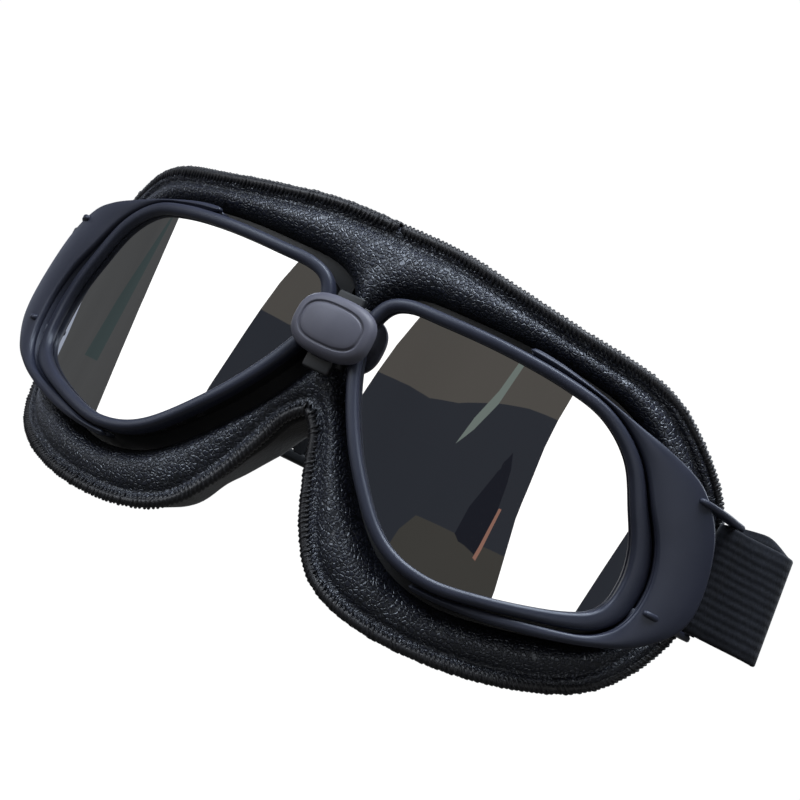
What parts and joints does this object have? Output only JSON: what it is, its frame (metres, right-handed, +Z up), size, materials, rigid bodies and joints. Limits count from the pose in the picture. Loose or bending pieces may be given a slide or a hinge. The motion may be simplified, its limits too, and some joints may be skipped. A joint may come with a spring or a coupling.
{
  "type": "motorcycle goggles",
  "caption": "Retro riding goggles with two curved mirrored lenses in hinged rims, side wings, a padded leather face mask with a stitched edge, and an elastic head strap.",
  "frame": {"origin": "middle of the face seat, over the bridge of the nose", "axes": "-Y is forwards, away from the face; +Z is up; +X is to the right as seen from the front"},
  "size_m": [0.2022, 0.0689, 0.0846],
  "materials": {
    "satin_plastic": "fine matte moulded plastic, blue-black",
    "black_plastic": "plain black moulded plastic",
    "mirror_lens": "smoke lens with a silver mirror coat",
    "leather": "black pebble-grain synthetic leather",
    "foam": "dark soft foam",
    "lining": "black brushed knit lining",
    "thread": "thick black whip stitching",
    "webbing": "black ribbed elastic webbing",
    "steel": "plain steel"
  },
  "bodies": {
    "bridge": {"bridge_cover": "satin_plastic", "hinge_block": "black_plastic", "bridge_screws": "steel", "left_hinge_pin": "steel", "right_hinge_pin": "steel", "nose_leather": "leather", "nose_foam": "foam", "nose_lining": "lining", "nose_edge_stitch": "thread", "strap_back": "webbing", "strap_tail": "webbing"},
    "left_half": {"left_rim": "satin_plastic", "left_lens": "mirror_lens", "left_eyecup": "black_plastic", "left_retaining_ring": "black_plastic", "left_wing": "satin_plastic", "left_leather": "leather", "left_foam": "foam", "left_lining": "lining", "left_edge_stitch": "thread", "left_strap_end": "webbing", "left_strap_bartack": "thread"},
    "right_half": {"right_rim": "satin_plastic", "right_lens": "mirror_lens", "right_eyecup": "black_plastic", "right_retaining_ring": "black_plastic", "right_wing": "satin_plastic", "right_leather": "leather", "right_foam": "foam", "right_lining": "lining", "right_edge_stitch": "thread", "right_strap_end": "webbing", "right_strap_bartack": "thread"},
    "slider": {"strap_slider": "black_plastic"}
  },
  "joints": [
    {"name": "left_fold", "type": "hinge", "parent": "bridge", "child": "left_half", "pos_m": [-0.0026, -0.0208, 0.0128], "axis": [0, 0, -1], "range_deg": [-4, 10], "deforming": ["nose_leather", "nose_foam", "nose_lining", "nose_edge_stitch", "strap_back"]},
    {"name": "right_fold", "type": "hinge", "parent": "bridge", "child": "right_half", "pos_m": [0.0026, -0.0208, 0.0128], "axis": [0, 0, 1], "range_deg": [-4, 10], "deforming": ["nose_leather", "nose_foam", "nose_lining", "nose_edge_stitch", "strap_back"]},
    {"name": "slider_travel", "type": "slide", "parent": "bridge", "child": "slider", "axis": [1, 0, 0], "range_m": [-0.018, 0.014]}
  ]
}
